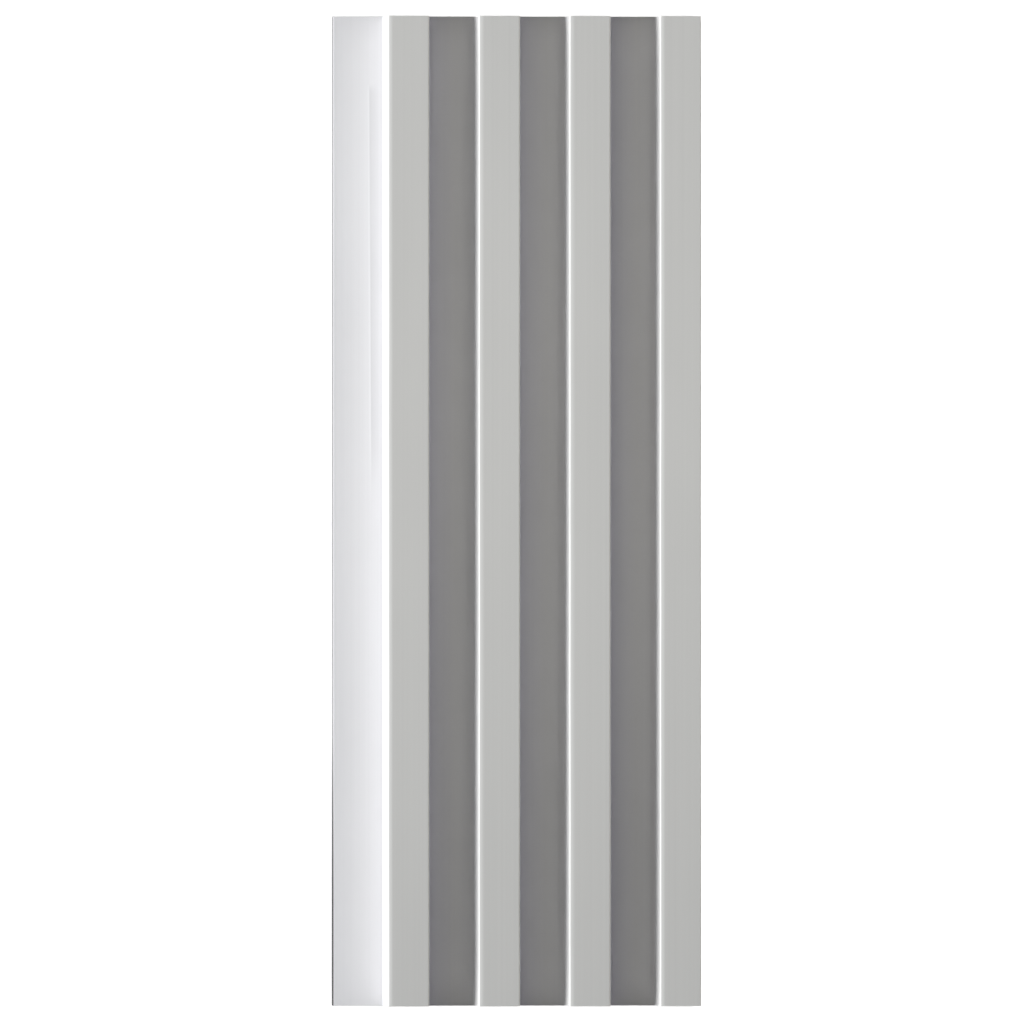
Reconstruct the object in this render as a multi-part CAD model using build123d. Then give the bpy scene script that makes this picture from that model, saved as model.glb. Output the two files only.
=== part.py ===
from build123d import *
import os
from math import radians, tan

# Driving dimensions, in millimetres and degrees.
# The panel lies on its back: ribs up (+Z), length along Y, lap flange towards -X.
panel_length = 436.0
rib_count = 4
rib_pitch = 40.0
rib_top_width = 18.0
groove_depth = 18.0
floor_thickness = 6.0
flank_draft = 3.0
wall_thickness = 3.0

# The lap joint: each flange thins towards its tip, which slides under the last rib of the panel beside it.
flange_tip_thickness = 4.0
lap_overlap = 2.5
lap_clearance = 0.3

# Rounding left by the extrusion die.
arris_radius = 0.6
root_radius = 0.8
nose_radius = 1.0
rebate_radius = 0.5
chamber_radius = 1.5

# Shallow keys for adhesive, cut along the back under each groove floor.
keys_per_floor = 2
key_spacing = 10.0
key_width = 3.0
key_depth = 0.8

# Corners closer in height than this are level with each other.
hairline = 0.001

# Sizes that follow from the driving dimensions.
panel_thickness = floor_thickness + groove_depth
draft_slope = tan(radians(flank_draft))
rib_foot_width = rib_top_width + 2 * groove_depth * draft_slope
flange_width = rib_pitch - rib_foot_width + lap_overlap
panel_width = flange_width + (rib_count - 1) * rib_pitch + rib_foot_width
flange_slope = (floor_thickness - flange_tip_thickness) / flange_width
lap_ceiling = flange_tip_thickness + lap_overlap * flange_slope + lap_clearance
left_side = -panel_width / 2
right_side = panel_width / 2


def rib_centre(index):
    """Distance of a rib's middle from the panel's middle, across the panel."""
    return left_side + flange_width + rib_foot_width / 2 + index * rib_pitch


def rib_outline(index):
    """A rib's drafted outline, carried down to the back so that its hollow follows the flanks."""
    top = rib_top_width / 2
    bottom = top + panel_thickness * draft_slope
    centre = rib_centre(index)
    return make_face(
        Polyline(
            (centre - bottom, 0),
            (centre - top, panel_thickness),
            (centre + top, panel_thickness),
            (centre + bottom, 0),
            close=True,
        )
    )


def flange_taper():
    """The wedge taken off the top of the flange, thickest at its tip and nothing at the first rib."""
    return make_face(
        Polyline(
            (left_side, flange_tip_thickness),
            (left_side, floor_thickness),
            (left_side + flange_width, floor_thickness),
            close=True,
        )
    )


def lap_rebate():
    """The notch along the back of the last rib where the next panel's flange goes in."""
    depth = lap_overlap + lap_clearance
    return Pos(right_side - depth, 0) * Rectangle(rib_pitch, lap_ceiling, align=(Align.MIN, Align.MIN))


def adhesive_key(centre):
    """A shallow groove in the back, with sides that slope out at 45 degrees."""
    mouth = key_width / 2
    root = mouth - key_depth
    return make_face(
        Polyline(
            (centre - mouth, 0),
            (centre - root, key_depth),
            (centre + root, key_depth),
            (centre + mouth, 0),
            close=True,
        )
    )


def corners_at(sketch, height):
    """The corners of a section that lie at one height above the back, from left to right."""
    level = sketch.vertices().filter_by_position(Axis.Y, height - hairline, height + hairline)
    return level.sort_by(Axis.X)


def outer_section():
    """The section's outside: floor, ribs, flange and rebate, with its corners rounded."""
    floor = Pos(left_side, 0) * Rectangle(panel_width, floor_thickness, align=(Align.MIN, Align.MIN))
    section = Sketch() + floor - flange_taper()
    for index in range(rib_count):
        section += rib_outline(index)
    section -= lap_rebate()
    section = fillet(corners_at(section, panel_thickness), arris_radius)
    section = fillet(corners_at(section, floor_thickness), root_radius)
    section = fillet(corners_at(section, flange_tip_thickness), nose_radius)
    section = fillet(corners_at(section, lap_ceiling), rebate_radius)
    return section


def rib_chamber(index):
    """The hollow inside one rib: set in too far, then grown back, which rounds its corners."""
    cell = rib_outline(index) - lap_rebate()
    core = offset(cell, amount=-(wall_thickness + chamber_radius))
    return offset(core, amount=chamber_radius)


def panel_section():
    """The whole extruded section: the outside, less the chambers and the adhesive keys."""
    section = outer_section()
    for index in range(rib_count):
        section -= rib_chamber(index)
        floor_centre = rib_centre(index) - rib_pitch / 2
        for key in range(keys_per_floor):
            section -= adhesive_key(floor_centre + (key - (keys_per_floor - 1) / 2) * key_spacing)
    return section


fluted_panel = extrude(Plane.XZ * panel_section(), amount=panel_length / 2, both=True)

os.makedirs("parts", exist_ok=True)
export_step(fluted_panel, "parts/fluted_panel.step")
size = fluted_panel.bounding_box().size
print(f"fluted_panel {size.X:.2f} x {size.Y:.2f} x {size.Z:.2f} mm, {fluted_panel.volume / 1000:.1f} cm3")
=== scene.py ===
# %% [markdown]
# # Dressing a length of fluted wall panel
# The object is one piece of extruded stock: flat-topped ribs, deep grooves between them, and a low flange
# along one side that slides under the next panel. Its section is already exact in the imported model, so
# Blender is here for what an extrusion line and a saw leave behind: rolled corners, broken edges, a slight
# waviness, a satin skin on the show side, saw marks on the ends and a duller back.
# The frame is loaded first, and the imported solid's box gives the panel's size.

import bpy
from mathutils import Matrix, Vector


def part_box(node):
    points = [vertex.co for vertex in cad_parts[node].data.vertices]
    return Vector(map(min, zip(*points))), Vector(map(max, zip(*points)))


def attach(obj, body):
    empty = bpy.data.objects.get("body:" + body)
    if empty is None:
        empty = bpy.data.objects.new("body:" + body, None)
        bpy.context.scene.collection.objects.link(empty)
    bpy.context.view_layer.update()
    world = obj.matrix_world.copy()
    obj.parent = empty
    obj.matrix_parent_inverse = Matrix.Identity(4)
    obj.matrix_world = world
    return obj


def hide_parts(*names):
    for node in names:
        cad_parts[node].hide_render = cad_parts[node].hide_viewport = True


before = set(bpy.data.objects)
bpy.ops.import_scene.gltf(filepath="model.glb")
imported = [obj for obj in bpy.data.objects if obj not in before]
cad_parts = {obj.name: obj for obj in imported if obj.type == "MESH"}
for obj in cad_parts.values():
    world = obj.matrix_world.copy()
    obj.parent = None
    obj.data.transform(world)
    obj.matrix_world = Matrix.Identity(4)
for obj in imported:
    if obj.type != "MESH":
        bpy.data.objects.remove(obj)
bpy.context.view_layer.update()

# %% [markdown]
# ## Tools used all through the lesson
# An operator acts on whatever is selected, so every step starts by selecting exactly what it needs. In edit
# mode, edges and faces are picked by a question asked of each one: where it is, or which way it looks.

# %% Picking objects, edges and faces
from math import cos, radians, sin, tan

import bmesh
import bpy
from mathutils import Vector

MM = 0.001


def pick_only(piece):
    """Make one object the only selected one, and the active one."""
    bpy.ops.object.select_all(action="DESELECT")
    piece.select_set(True)
    bpy.context.view_layer.objects.active = piece


def pick(piece, kind, wanted):
    """In edit mode, select the edges or faces for which wanted is true, and count them."""
    bpy.ops.mesh.select_mode(type=kind)
    bpy.ops.mesh.select_all(action="DESELECT")
    grid = bmesh.from_edit_mesh(piece.data)
    parts = grid.edges if kind == "EDGE" else grid.faces
    chosen = [part for part in parts if wanted(part)]
    for part in chosen:
        part.select_set(True)
    bmesh.update_edit_mesh(piece.data)
    return len(chosen)


print("lengths below are in millimetres, times", MM)

# %% [markdown]
# ## The panel itself
# A section like this could be drawn as a curve and extruded, or built from a box by extruding ribs out of it.
# The solid model already holds it at its real size, with every radius, so the best start is a copy of that
# mesh. The copy is loose triangles, so its corners are merged and its flat parts dissolved into whole faces
# before anything else is done to it.

# %% Copy the extrusion and make it one clean mesh
SECTION_NODE = "fluted_panel"
MERGE_DISTANCE = 0.001 * MM
FLAT_ANGLE = radians(0.5)

panel = bpy.data.objects.new("panel_extrusion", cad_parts[SECTION_NODE].data.copy())
bpy.context.scene.collection.objects.link(panel)
pick_only(panel)
bpy.ops.object.mode_set(mode="EDIT")
bpy.ops.mesh.select_all(action="SELECT")
bpy.ops.mesh.customdata_custom_splitnormals_clear()
bpy.ops.mesh.remove_doubles(threshold=MERGE_DISTANCE)
bpy.ops.mesh.dissolve_limited(angle_limit=FLAT_ANGLE)
bpy.ops.object.mode_set(mode="OBJECT")
low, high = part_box(SECTION_NODE)
half_length = high.y
print("clean extrusion:", len(panel.data.vertices), "corners,", len(panel.data.polygons), "faces")

# %% [markdown]
# ## Rolled corners
# The die lets the left of each rib top roll off over a millimetre or two before the rounded corner itself.
# It is too shallow to notice in the outline, but it turns that strip towards the light and softens the bright
# line along the corner. A bevel can't make it, because the corner is round already. So the tops are cut into
# narrow strips by bisecting them, and a Displace modifier lowers these by the weights of a vertex group, more
# and more steeply towards the corner.

# %% Cut strips along the left of each rib top
RIB_COUNT = 4
RIB_PITCH = 40 * MM
RIB_TOP = 18 * MM
FIRST_LEFT = -57.69 * MM
CORNER_RADIUS = 0.6 * MM
ROLL_WIDTH = 1.6 * MM
ROLL_STRIPS = 4
FLUSH = 0.01 * MM


def on_rib_top(face):
    """True for a face in the flat top of a rib."""
    return face.calc_center_median().z > high.z - FLUSH


bpy.ops.object.mode_set(mode="EDIT")
for rib in range(RIB_COUNT):
    flat_start = FIRST_LEFT + rib * RIB_PITCH + CORNER_RADIUS
    for strip in range(1, ROLL_STRIPS + 1):
        pick(panel, "FACE", on_rib_top)
        cut_place = flat_start + ROLL_WIDTH * strip / ROLL_STRIPS
        bpy.ops.mesh.bisect(plane_co=(cut_place, 0, 0), plane_no=(1, 0, 0))
top_count = pick(panel, "FACE", on_rib_top)
bpy.ops.object.mode_set(mode="OBJECT")
print("rib tops now in", top_count, "strips and flats")

# %% Lower the strips towards the corner
ROLL_DROP = 0.17 * MM
CORNER_LEAD = 1.0 * MM


def roll_share(spot):
    """How much a point is lowered: fully at the rounded corner, not at all where the flat starts."""
    if spot.z < high.z - CORNER_RADIUS - FLUSH:
        return 0.0
    from_left = (spot.x - FIRST_LEFT + CORNER_LEAD) % RIB_PITCH - CORNER_LEAD
    left_over = 1 - (from_left - CORNER_RADIUS) / ROLL_WIDTH
    return min(max(left_over, 0.0), 1.0) ** 2


rolled_off = panel.vertex_groups.new(name="rolled_off")
for corner in panel.data.vertices:
    rolled_off.add([corner.index], roll_share(corner.co), "REPLACE")
roll = panel.modifiers.new("rolled_off", "DISPLACE")
roll.direction = "Z"
roll.mid_level = 0.0
roll.strength = -ROLL_DROP
roll.vertex_group = rolled_off.name
pick_only(panel)
bpy.ops.object.modifier_apply(modifier=roll.name)
print("left corners lowered", ROLL_DROP / MM, "mm over", ROLL_WIDTH / MM, "mm")

# %% [markdown]
# ## Edges the saw left
# A saw cut is never a perfect corner: the edge crumbles a little or is wiped with a file. A bevel of a
# fraction of a millimetre is enough to catch a thin line of light all round each end. The edges to bevel are
# those between a face of a sawn end and a face that runs along the panel.

# %% Break the sawn edges
SAW_BREAK = 0.25 * MM
END_SLACK = 0.01 * MM


def on_end(face):
    """True for a face that lies in one of the two sawn ends."""
    return abs(abs(face.calc_center_median().y) - half_length) < END_SLACK


def is_saw_rim(edge):
    """True for an edge between a sawn end and a face along the panel."""
    ends = [on_end(face) for face in edge.link_faces]
    return len(ends) == 2 and ends[0] != ends[1]


bpy.ops.object.mode_set(mode="EDIT")
rim_count = pick(panel, "EDGE", is_saw_rim)
bpy.ops.mesh.bevel(offset=SAW_BREAK, segments=2, profile=0.5, affect="EDGES", clamp_overlap=False)
bpy.ops.object.mode_set(mode="OBJECT")
print("broken saw edges:", rim_count)

# %% [markdown]
# ## The slight waviness of an extrusion
# Plastic comes out of the die hot and cools unevenly, so no rib is perfectly straight. On a long highlight
# the eye sees a tenth of a millimetre. The long faces are cut into short lengths, and a Displace modifier
# with a broad cloud texture moves them a hair. A vertex group keeps the back flat: its weight grows from
# nothing at the back to full at the rib tops.

# %% Cut the long faces into short lengths
LENGTH_CUTS = 47


def runs_along(edge):
    """True for an edge that runs nearly the whole way from one end to the other."""
    return abs(edge.verts[0].co.y - edge.verts[1].co.y) > half_length


bpy.ops.object.mode_set(mode="EDIT")
long_count = pick(panel, "EDGE", runs_along)
bpy.ops.mesh.subdivide(number_cuts=LENGTH_CUTS)
bpy.ops.object.mode_set(mode="OBJECT")
print("long edges cut:", long_count, "faces now:", len(panel.data.polygons))

# %% Let the ribs wander a hair
WAVE_SIZE = 60 * MM
WAVE_STRENGTH = 0.2 * MM

free_to_move = panel.vertex_groups.new(name="free_to_move")
for corner in panel.data.vertices:
    height_share = (corner.co.z - low.z) / (high.z - low.z)
    free_to_move.add([corner.index], height_share, "REPLACE")

waves = bpy.data.textures.new("cooling_waves", type="CLOUDS")
waves.noise_scale = WAVE_SIZE
waves.noise_depth = 1
bow = panel.modifiers.new("cooling_waves", "DISPLACE")
bow.texture = waves
bow.texture_coords = "LOCAL"
bow.direction = "X"
bow.mid_level = 0.5
bow.strength = WAVE_STRENGTH
bow.vertex_group = free_to_move.name
pick_only(panel)
bpy.ops.object.modifier_apply(modifier=bow.name)
print("waviness of at most", WAVE_STRENGTH / MM / 2, "mm either way at the rib tops")

# %% [markdown]
# ## Shading the curves and the flats
# The rounded corners must look round while the broad faces stay dead flat. Smooth shading by angle does the
# first, and a Weighted Normal modifier the second: it lets the large faces decide the normals at the corners
# they share with the small ones.

# %% Smooth the corners, keep the flats flat
SMOOTH_DEGREES = 35
FLAT_WEIGHT = 100

pick_only(panel)
bpy.ops.object.shade_smooth_by_angle(angle=radians(SMOOTH_DEGREES), keep_sharp_edges=False)
flats_first = panel.modifiers.new("flats_first", "WEIGHTED_NORMAL")
flats_first.mode = "FACE_AREA"
flats_first.weight = FLAT_WEIGHT
flats_first.keep_sharp = True
bpy.ops.object.modifier_apply(modifier=flats_first.name)
print("shaded smooth below", SMOOTH_DEGREES, "degrees")

# %% [markdown]
# ## Building blocks for the finishes
# All three finishes of the panel are worked out from where a point lies on it, in metres, so nothing needs
# unwrapping and nothing slides. A noise whose blotches are much longer along the panel than across it makes
# the lines that a die draws, and the same noise with even blotches makes mottling or pores. These helpers
# add one such noise, and turn it into a number or a colour.

# %% Helpers for node patterns
NOISE_LOW, NOISE_HIGH = 0.3, 0.7
BLACK = (0.0, 0.0, 0.0)
WHITE = (1.0, 1.0, 1.0)


def new_finish(name):
    """A new material; gives the material, its node tree and its shader."""
    finish = bpy.data.materials.new(name)
    finish.use_nodes = True
    return finish, finish.node_tree, finish.node_tree.nodes["Principled BSDF"]


def blotches(tree, name, size, detail=2.0):
    """Noise on object coordinates, with blotches of the given size along X, Y and Z."""
    place = tree.nodes.new("ShaderNodeTexCoord")
    fit = tree.nodes.new("ShaderNodeMapping")
    fit.inputs["Scale"].default_value = [1 / side for side in size]
    noise = tree.nodes.new("ShaderNodeTexNoise")
    noise.name = noise.label = name
    noise.inputs["Scale"].default_value = 1.0
    noise.inputs["Detail"].default_value = detail
    tree.links.new(place.outputs["Object"], fit.inputs["Vector"])
    tree.links.new(fit.outputs["Vector"], noise.inputs["Vector"])
    return noise.outputs["Fac"]


def rescale(tree, signal, start, end, to_start, to_end, smooth=False):
    """Turn the range start to end of a signal into the range to_start to to_end, and stop there."""
    node = tree.nodes.new("ShaderNodeMapRange")
    node.interpolation_type = "SMOOTHSTEP" if smooth else "LINEAR"
    node.clamp = True
    limits = {"From Min": start, "From Max": end, "To Min": to_start, "To Max": to_end}
    for socket, value in limits.items():
        node.inputs[socket].default_value = value
    tree.links.new(signal, node.inputs["Value"])
    return node.outputs["Result"]


def combine(tree, action, first, second):
    """Add, multiply or otherwise combine two signals; the second may be a plain number."""
    node = tree.nodes.new("ShaderNodeMath")
    node.operation = action
    tree.links.new(first, node.inputs[0])
    if isinstance(second, float):
        node.inputs[1].default_value = second
    else:
        tree.links.new(second, node.inputs[1])
    return node.outputs["Value"]


def product(tree, result, *others):
    """Multiply a signal by one or more others, each of which may be a plain number."""
    for other in others:
        result = combine(tree, "MULTIPLY", result, other)
    return result


def tint_between(tree, signal, dark, light):
    """A colour that goes from dark to light as the signal goes from 0 to 1."""
    ramp = tree.nodes.new("ShaderNodeValToRGB")
    ramp.color_ramp.elements[0].color = (*dark, 1.0)
    ramp.color_ramp.elements[1].color = (*light, 1.0)
    tree.links.new(signal, ramp.inputs["Fac"])
    return ramp.outputs["Color"]


def blend(tree, share, colour, other, way="MIX"):
    """Mix a plain colour into a colour signal, by a share that varies over the surface."""
    node = tree.nodes.new("ShaderNodeMix")
    node.data_type = "RGBA"
    node.blend_type = way
    node.inputs["B"].default_value = (*other, 1.0)
    tree.links.new(share, node.inputs["Factor"])
    tree.links.new(colour, node.inputs["A"])
    return node.outputs["Result"]


def raise_by(tree, shader, signal, height, strength):
    """Bump the surface by a signal, on top of any bump it already has."""
    bump = tree.nodes.new("ShaderNodeBump")
    bump.inputs["Distance"].default_value = height
    bump.inputs["Strength"].default_value = strength
    tree.links.new(signal, bump.inputs["Height"])
    for link in list(shader.inputs["Normal"].links):
        tree.links.new(link.from_socket, bump.inputs["Normal"])
    tree.links.new(bump.outputs["Normal"], shader.inputs["Normal"])


def wear(tree, shader, colour, roughness):
    """Give a shader its colour and its roughness, both as signals."""
    tree.links.new(colour, shader.inputs["Base Color"])
    tree.links.new(roughness, shader.inputs["Roughness"])


print("finish helpers ready; a noise mostly lies between", NOISE_LOW, "and", NOISE_HIGH)

# %% [markdown]
# ## The satin show face
# The visible side is an even light grey with a low sheen. Close up, the die leaves very fine lines along the
# panel, the colour drifts by a percent or two, and the surface has a fine satin grain. The lines drive the
# colour, the roughness and a little bump together, because on the real skin they are one and the same.

# %% Satin grey skin: lines, drift and grain
SKIN_DARK = (0.692, 0.683, 0.686)
SKIN_LIGHT = (0.726, 0.717, 0.720)
SKIN_SMOOTHEST, SKIN_ROUGHEST = 0.44, 0.54
LINE_SIZE = (1.1 * MM, 420 * MM, 1.1 * MM)
DRIFT_SIZE = (30 * MM, 80 * MM, 30 * MM)
GRAIN_SIZE = (0.45 * MM, 0.6 * MM, 0.45 * MM)
SKIN_RELIEF = 0.02 * MM
GRAIN_STRENGTH = 0.25
LINE_STRENGTH = 0.18

skin, skin_tree, skin_shader = new_finish("satin_grey_skin")
die_lines = blotches(skin_tree, "die_lines", LINE_SIZE, detail=3.0)
tone_drift = blotches(skin_tree, "tone_drift", DRIFT_SIZE)
satin_grain = blotches(skin_tree, "satin_grain", GRAIN_SIZE)
both = combine(skin_tree, "ADD", die_lines, tone_drift)
skin_tone = rescale(skin_tree, both, 2 * NOISE_LOW, 2 * NOISE_HIGH, 0.0, 1.0)
skin_gloss = rescale(skin_tree, die_lines, NOISE_LOW, NOISE_HIGH, SKIN_SMOOTHEST, SKIN_ROUGHEST)
raise_by(skin_tree, skin_shader, satin_grain, SKIN_RELIEF, GRAIN_STRENGTH)
raise_by(skin_tree, skin_shader, die_lines, SKIN_RELIEF, LINE_STRENGTH)
grey = tint_between(skin_tree, skin_tone, SKIN_DARK, SKIN_LIGHT)
print("skin patterns:", [node.label for node in skin_tree.nodes if node.label])

# %% [markdown]
# ## A painted dent on the flange
# The flange of this length shows one long, faint, shallow dent, nearly in line with the panel. Its shading is
# painted
# into the colour: a darker band of painted shade, sharp on its outer side and fading towards the rib, and a
# thin pale lip of painted highlight just outside it. It could be painted as an image, but it is as easy to
# describe. How far a point lies inside the dent's slightly slanted line gives the lip and the fade across it,
# and its place along the panel gives the fade at the two ends.

# %% Paint the dent's shade and highlight into the skin
DENT_LINE_X = -64.05 * MM
DENT_SLANT = -0.0056
DENT_SHADE_WIDTH = 4.5 * MM
DENT_SHADE_STRENGTH = 0.13
DENT_EDGE = 0.25 * MM
NEAR_FADE = (0.0, 40 * MM)
FAR_FADE = (184 * MM, 189 * MM)
LIP_WIDTH = 1.0 * MM
LIP_CREST = 0.4 * LIP_WIDTH
LIP_HIGHLIGHT = 0.14

place = skin_tree.nodes.new("ShaderNodeTexCoord")
apart = skin_tree.nodes.new("ShaderNodeSeparateXYZ")
skin_tree.links.new(place.outputs["Object"], apart.inputs["Vector"])
lean = combine(skin_tree, "MULTIPLY", apart.outputs["Y"], DENT_SLANT)
across = combine(skin_tree, "SUBTRACT", apart.outputs["X"], lean)
sharp_side = rescale(skin_tree, across, DENT_LINE_X - DENT_EDGE, DENT_LINE_X + DENT_EDGE, 0.0, 1.0)
soft_side = rescale(skin_tree, across, DENT_LINE_X, DENT_LINE_X + DENT_SHADE_WIDTH, 1.0, 0.0)
lip_side = rescale(skin_tree, across, DENT_LINE_X - LIP_WIDTH, DENT_LINE_X - LIP_CREST, 0.0, 1.0)
lip_end = rescale(skin_tree, across, DENT_LINE_X - DENT_EDGE, DENT_LINE_X + DENT_EDGE, 1.0, 0.0)
near_end = rescale(skin_tree, apart.outputs["Y"], *NEAR_FADE, 0.0, 1.0, smooth=True)
far_end = rescale(skin_tree, apart.outputs["Y"], *FAR_FADE, 1.0, 0.0, smooth=True)
length = product(skin_tree, near_end, far_end)
# painted shade of the dent and painted highlight of its lip, mixed into the grey
painted_dent_shade = product(skin_tree, sharp_side, soft_side, length, DENT_SHADE_STRENGTH)
painted_lip_highlight = product(skin_tree, lip_side, lip_end, length, LIP_HIGHLIGHT)
with_dent_painted = blend(skin_tree, painted_lip_highlight, blend(skin_tree, painted_dent_shade, grey, BLACK), WHITE)
print("scuff", DENT_SHADE_WIDTH / MM, "mm wide, takes off at most", DENT_SHADE_STRENGTH, "of the grey")

# %% [markdown]
# ## Across a rib and its groove
# The section repeats, so the tints need to know where a point lies within one repeat: first a groove, then a
# rib. The remainder of a division by the pitch gives that, counted from the right corner of the nearest rib
# to the left.

# %% Place within one pitch
FIRST_RIGHT = FIRST_LEFT + RIB_TOP

past_corner = combine(skin_tree, "SUBTRACT", apart.outputs["X"], FIRST_RIGHT)
in_pitch = combine(skin_tree, "FLOORED_MODULO", past_corner, RIB_PITCH)
print("the first groove starts at", round(FIRST_RIGHT / MM, 2), "mm")

# %% [markdown]
# ## Painted warm light on the tops, painted cool shade in the grooves
# The rib tops are painted a touch warmer, as if lit by warmer light: they lose about a twentieth of their blue.
# The left side of each groove, in the shade of the rib to its left, is painted a touch bluer as a cool shade.
# Multiplying the grey by a faint yellow or a faint blue does it, by as much as the place of a point says.

# %% Tint by height and by place in the groove
PAINTED_WARM_LIGHT = (1.0, 1.0, 0.953)
WARM_START, WARM_FULL = low.z + 8 * MM, high.z - 2 * MM
PAINTED_COOL_SHADE = (1.0, 1.0, 1.085)
COOL_FULL, COOL_END = low.z + 6.5 * MM, low.z + 9 * MM
COOL_REACH = 12.5 * MM
RIB_MARGIN = 2 * MM

up_high = rescale(skin_tree, apart.outputs["Z"], WARM_START, WARM_FULL, 0.0, 1.0)
low_down = rescale(skin_tree, apart.outputs["Z"], COOL_FULL, COOL_END, 1.0, 0.0)
beside_rib = rescale(skin_tree, in_pitch, 0.0, COOL_REACH, 1.0, 0.0)
past_flange = rescale(skin_tree, past_corner, -RIB_MARGIN, 0.0, 0.0, 1.0)
in_groove = product(skin_tree, beside_rib, low_down, past_flange)
# painted warm light on the rib tops, then painted cool shade on the left of each groove
with_warm_light_painted = blend(skin_tree, up_high, with_dent_painted, PAINTED_WARM_LIGHT, "MULTIPLY")
with_cool_shade_painted = blend(skin_tree, in_groove, with_warm_light_painted, PAINTED_COOL_SHADE, "MULTIPLY")
print("blue left: rib tops", PAINTED_WARM_LIGHT[2], "grooves up to", PAINTED_COOL_SHADE[2])

# %% [markdown]
# ## Painted shade on the nose
# A thin dark line of painted shade lies on the rounded nose of the flange, as the shadow along its outer edge,
# and it takes away the bright line the nose would catch. It is heavier towards the near end, with about half as
# much on the upright side below. So the share depends on how far out a point lies, on its height, and on its
# place along the panel. The same share also raises the roughness.

# %% Darken the flange's nose
EDGE_SHADE_COLOUR = (0.022, 0.020, 0.020)
EDGE_SHADE_FULL, EDGE_SHADE_REACH = 0.1 * MM, 0.8 * MM
SIDE_TOP, NOSE_START = low.z + 2.0 * MM, low.z + 2.6 * MM
SIDE_SHARE = 0.55
THICK_END, THIN_START = -185 * MM, -85 * MM
THICK_SHARE, THIN_SHARE = 1.6, 0.82

outermost = rescale(skin_tree, apart.outputs["X"], low.x + EDGE_SHADE_FULL, low.x + EDGE_SHADE_REACH, 1.0, 0.0)
on_nose = rescale(skin_tree, apart.outputs["Z"], SIDE_TOP, NOSE_START, SIDE_SHARE, 1.0)
thickness = rescale(
    skin_tree, apart.outputs["Y"], THICK_END, THIN_START, THICK_SHARE, THIN_SHARE, smooth=True
)
# share of painted shade along the flange's outer edge
edge_shade_share = product(skin_tree, outermost, on_nose, thickness)
skin_colour = blend(skin_tree, edge_shade_share, with_cool_shade_painted, EDGE_SHADE_COLOUR)
wear(skin_tree, skin_shader, skin_colour, combine(skin_tree, "MAXIMUM", skin_gloss, edge_shade_share))
print("grime on the outermost", EDGE_SHADE_REACH / MM, "mm of the flange")

# %% [markdown]
# ## Sawn ends
# Where the saw went through, the skin is gone: the same grey, but dull, with fine parallel marks from the
# teeth and tiny pores. A Wave texture gives the marks, bent a little by its own distortion so that they are
# not ruled lines, and a small noise gives the pores. At a scale of 1 the wave repeats every 0.314 metres.

# %% Sawn end: tooth marks and pores
CUT_DARK = (0.60, 0.60, 0.585)
CUT_LIGHT = (0.72, 0.72, 0.70)
CUT_SMOOTHEST, CUT_ROUGHEST = 0.75, 0.95
CUT_RELIEF = 0.06 * MM
CUT_STRENGTH = 0.6
WAVE_REPEAT = 0.314
TOOTH_PITCH = 1.3 * MM
TOOTH_WOBBLE = 2.5
TOOTH_SHADE = 0.75
PORE_SIZE = 0.5 * MM
PIT_BOTTOM, PIT_RIM = 0.34, 0.44

cut, cut_tree, cut_shader = new_finish("sawn_end")
place = cut_tree.nodes.new("ShaderNodeTexCoord")
teeth = cut_tree.nodes.new("ShaderNodeTexWave")
teeth.bands_direction = "X"
teeth.inputs["Scale"].default_value = WAVE_REPEAT / TOOTH_PITCH
teeth.inputs["Distortion"].default_value = TOOTH_WOBBLE
teeth.inputs["Detail"].default_value = 2.0
cut_tree.links.new(place.outputs["Object"], teeth.inputs["Vector"])
marks = rescale(cut_tree, teeth.outputs["Fac"], 0.0, 1.0, TOOTH_SHADE, 1.0)
pores = blotches(cut_tree, "pores", (PORE_SIZE, PORE_SIZE, PORE_SIZE), detail=4.0)
pits = rescale(cut_tree, pores, PIT_BOTTOM, PIT_RIM, 0.0, 1.0)
rough_cut = product(cut_tree, marks, pits)
cut_colour = tint_between(cut_tree, rough_cut, CUT_DARK, CUT_LIGHT)
wear(cut_tree, cut_shader, cut_colour, rescale(cut_tree, rough_cut, 0.0, 1.0, CUT_ROUGHEST, CUT_SMOOTHEST))
raise_by(cut_tree, cut_shader, rough_cut, CUT_RELIEF, CUT_STRENGTH)
print("saw marks every", TOOTH_PITCH / MM, "mm")

# %% [markdown]
# ## The back and the hollows
# Nobody polishes the side that is glued to the wall, or the chambers inside the ribs. They come out of the
# die as they are: the same grey a shade darker, without the satin, and with coarser lines along the panel.

# %% Raw extruded back
RAW_DARK = (0.55, 0.55, 0.535)
RAW_LIGHT = (0.66, 0.66, 0.645)
RAW_SMOOTHEST, RAW_ROUGHEST = 0.58, 0.78
RAW_RELIEF = 0.08 * MM
RAW_STRENGTH = 0.5
DRAG_SIZE = (1.8 * MM, 160 * MM, 1.8 * MM)
CLOUD_SIZE = (18 * MM, 40 * MM, 18 * MM)

raw, raw_tree, raw_shader = new_finish("raw_back")
drag_lines = blotches(raw_tree, "drag_lines", DRAG_SIZE, detail=4.0)
cloudy = blotches(raw_tree, "cloudy", CLOUD_SIZE, detail=3.0)
raw_sum = combine(raw_tree, "ADD", drag_lines, cloudy)
raw_tone = rescale(raw_tree, raw_sum, 2 * NOISE_LOW, 2 * NOISE_HIGH, 0.0, 1.0)
raw_gloss = rescale(raw_tree, drag_lines, NOISE_LOW, NOISE_HIGH, RAW_SMOOTHEST, RAW_ROUGHEST)
wear(raw_tree, raw_shader, tint_between(raw_tree, raw_tone, RAW_DARK, RAW_LIGHT), raw_gloss)
raise_by(raw_tree, raw_shader, drag_lines, RAW_RELIEF, RAW_STRENGTH)
print("raw patterns:", [node.label for node in raw_tree.nodes if node.label])

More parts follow.
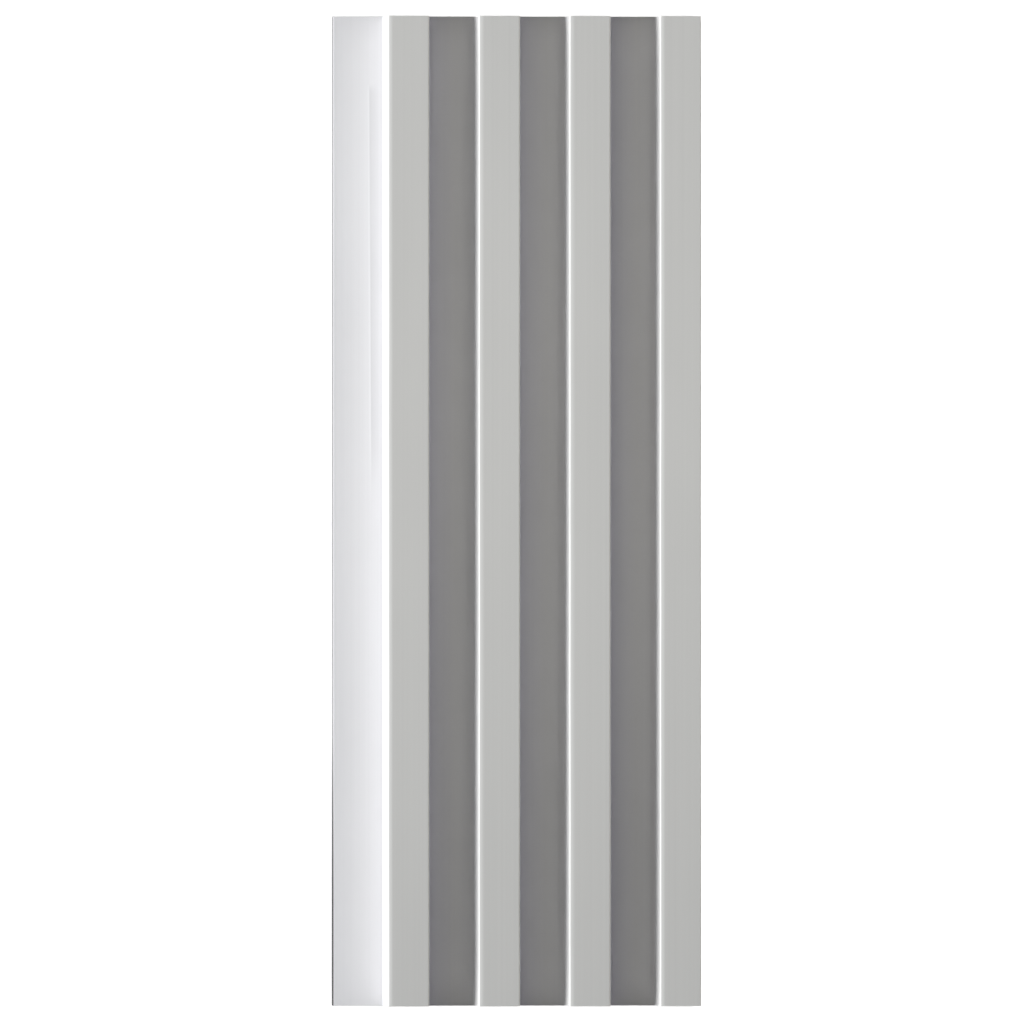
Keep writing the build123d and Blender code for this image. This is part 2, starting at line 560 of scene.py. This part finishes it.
# %% [markdown]
# ## Each finish on its faces
# The skin goes on first, everywhere. Then the faces of the sawn ends are picked by where they are, and the
# back and the hollows by height and by how deep they lie inside a rib: a face well within a rib's flanks,
# below its top and above the back, can only be a wall of its chamber.

# %% Assign the finishes
DRAFT = tan(radians(3))
FIRST_RIB = FIRST_LEFT + RIB_TOP / 2
SHELL = 1.5 * MM
FACES_DOWN = -0.5


def inside_a_rib(face):
    """True for a face of a rib's chamber."""
    middle = face.calc_center_median()
    reach = RIB_TOP / 2 + (high.z - middle.z) * DRAFT - SHELL
    off_centre = min(abs(middle.x - FIRST_RIB - RIB_PITCH * rib) for rib in range(RIB_COUNT))
    return off_centre < reach and low.z + SHELL < middle.z < high.z - SHELL


def unseen(face):
    """True for a face on the back or in a chamber."""
    on_back = face.calc_center_median().z < low.z + SHELL and face.normal.z < FACES_DOWN
    return not on_end(face) and (on_back or inside_a_rib(face))


panel.data.materials.clear()
for finish in (skin, cut, raw):
    panel.data.materials.append(finish)
pick_only(panel)
bpy.ops.object.mode_set(mode="EDIT")
for number, wanted in ((1, on_end), (2, unseen)):
    count = pick(panel, "FACE", wanted)
    panel.active_material_index = number
    bpy.ops.object.material_slot_assign()
    print(panel.data.materials[number].name, "on", count, "faces")
bpy.ops.object.mode_set(mode="OBJECT")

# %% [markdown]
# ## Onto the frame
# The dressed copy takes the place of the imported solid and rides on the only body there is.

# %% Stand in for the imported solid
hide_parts(SECTION_NODE)
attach(panel, "root")

# %% [markdown]
# ## A white floor
# The panel lies on a plain white floor. The floor has a lamp of its own, wide and high, that lights nothing
# else, so the white stays clean while the panel keeps its own light and a soft contact shadow.

# %% Lay the floor
FLOOR_SIDE = 12.0
FLOOR_GAP = 0.2 * MM
FLOOR_COLOUR = (0.9, 0.9, 0.9, 1.0)
FLOOR_ROUGHNESS = 0.9

bpy.ops.object.select_all(action="DESELECT")
bpy.ops.mesh.primitive_plane_add(size=FLOOR_SIDE, location=(0, 0, low.z - FLOOR_GAP))
floor = bpy.context.active_object
floor.name = "studio_floor"
white, _, white_shader = new_finish("white_floor")
white_shader.inputs["Base Color"].default_value = FLOOR_COLOUR
white_shader.inputs["Roughness"].default_value = FLOOR_ROUGHNESS
floor.data.materials.append(white)
print("floor", FLOOR_SIDE, "m across")

# %% [markdown]
# ## Soft light
# The grooves show best in light from the side. A tall, narrow softbox stands far to the left and reaches from
# the floor to well above the panel, so each left flank is bright at the top and fades downwards where the rib
# to its left hides part of the softbox. Being far away, it lights the first rib as strongly as the last.
# A small softbox above, nearer the far end, opens up the shadows and lets the light fall off gently along
# the panel. A faint one stands low on the right: it only skims the tops, but it keeps their right corners
# from ending in a dark line.

# %% A softbox for one object
def softbox(name, place, width, height, watts, tint, lit):
    """A rectangular lamp at a place, facing the panel, that lights one object only."""
    lamp = bpy.data.lights.new(name, "AREA")
    lamp.shape = "RECTANGLE"
    lamp.size, lamp.size_y = width, height
    lamp.energy = watts
    lamp.color = tint
    box = bpy.data.objects.new(name, lamp)
    bpy.context.scene.collection.objects.link(box)
    box.location = place
    box.rotation_euler = (-Vector(place)).to_track_quat("-Z", "Y").to_euler()
    only = bpy.data.collections.new("lit_by_" + name)
    only.objects.link(lit)
    box.light_linking.receiver_collection = only
    print(name, [round(side, 2) for side in place], watts, "W")


print("softbox helper ready")

# %% Set up the lamps
KEY_DISTANCE = 7.0
KEY_LOW, KEY_HIGH = 1.0, 43.0
KEY_WIDTH = 0.6
KEY_WATTS = 808.0
KEY_TINT = (0.941, 0.964, 1.0)
TOP_PLACE = (0.01, 0.10, 0.45)
TOP_SIDE = 0.35
TOP_WATTS = 0.305
TOP_TINT = (1.0, 0.985, 0.93)
RIM_PLACE = (6.0, 0.0, 0.31)
RIM_WIDTH, RIM_HEIGHT = 0.6, 0.5
RIM_WATTS = 135.0
RIM_TINT = (1.0, 0.985, 0.95)
WASH_PLACE = (0.0, 0.0, 3.0)
WASH_SIDE = 5.0
WASH_WATTS = 300.0

key_angle = radians((KEY_LOW + KEY_HIGH) / 2)
key_height = 2 * KEY_DISTANCE * tan(radians((KEY_HIGH - KEY_LOW) / 2))
key_place = (-KEY_DISTANCE * cos(key_angle), 0.0, KEY_DISTANCE * sin(key_angle))
softbox("left_softbox", key_place, KEY_WIDTH, key_height, KEY_WATTS, KEY_TINT, panel)
softbox("top_softbox", TOP_PLACE, TOP_SIDE, TOP_SIDE, TOP_WATTS, TOP_TINT, panel)
softbox("right_rim", RIM_PLACE, RIM_WIDTH, RIM_HEIGHT, RIM_WATTS, RIM_TINT, panel)
softbox("floor_wash", WASH_PLACE, WASH_SIDE, WASH_SIDE, WASH_WATTS, WHITE, floor)

# %% [markdown]
# ## The room around
# A faint even light from all round keeps the shaded sides from going black. Seen directly, behind the floor's
# edge, the room is white: the Light Path node tells the two apart.

# %% White room, faint light
AMBIENT = 0.046

world = bpy.data.worlds.new("white_room")
bpy.context.scene.world = world
world.use_nodes = True
room_nodes, room_links = world.node_tree.nodes, world.node_tree.links
room = room_nodes["Background"]
room.inputs["Color"].default_value = (*WHITE, 1.0)
path = room_nodes.new("ShaderNodeLightPath")
seen_or_felt = room_nodes.new("ShaderNodeMapRange")
seen_or_felt.inputs["To Min"].default_value = AMBIENT
seen_or_felt.inputs["To Max"].default_value = 1.0
room_links.new(path.outputs["Is Camera Ray"], seen_or_felt.inputs["Value"])
room_links.new(seen_or_felt.outputs["Result"], room.inputs["Strength"])
print("ambient light:", AMBIENT)

# %% [markdown]
# ## The camera
# The view is straight down, tipped a few degrees to the left so that the left flank of every rib just shows.
# A long lens from twelve metres away keeps the sawn ends straight across ribs and grooves. The lens follows
# from how much of the panel one pixel of the square picture covers.

# %% Look down, a little from the left
VIEW_TILT = radians(3.5)
VIEW_DISTANCE = 12.0
PIXEL = 0.4410 * MM
FRAME_PIXELS = 1024
FRAME_SHIFT = Vector((3.8, 0.9))
SENSOR_WIDTH = 36.0
FAR_CLIP = 50.0

lens = bpy.data.cameras.new("view")
lens.sensor_width = SENSOR_WIDTH
lens.lens = SENSOR_WIDTH * VIEW_DISTANCE / (FRAME_PIXELS * PIXEL)
lens.clip_end = FAR_CLIP
camera = bpy.data.objects.new("view", lens)
bpy.context.scene.collection.objects.link(camera)
right = Vector((cos(VIEW_TILT), 0, sin(VIEW_TILT)))
back = Vector((-sin(VIEW_TILT), 0, cos(VIEW_TILT)))
aim = -right * FRAME_SHIFT.x * PIXEL - Vector((0, 1, 0)) * FRAME_SHIFT.y * PIXEL
camera.location = aim + back * VIEW_DISTANCE
camera.rotation_euler = (0, -VIEW_TILT, 0)
bpy.context.scene.camera = camera
bpy.context.scene.view_settings.view_transform = "Standard"
print("lens in millimetres:", round(lens.lens, 1))
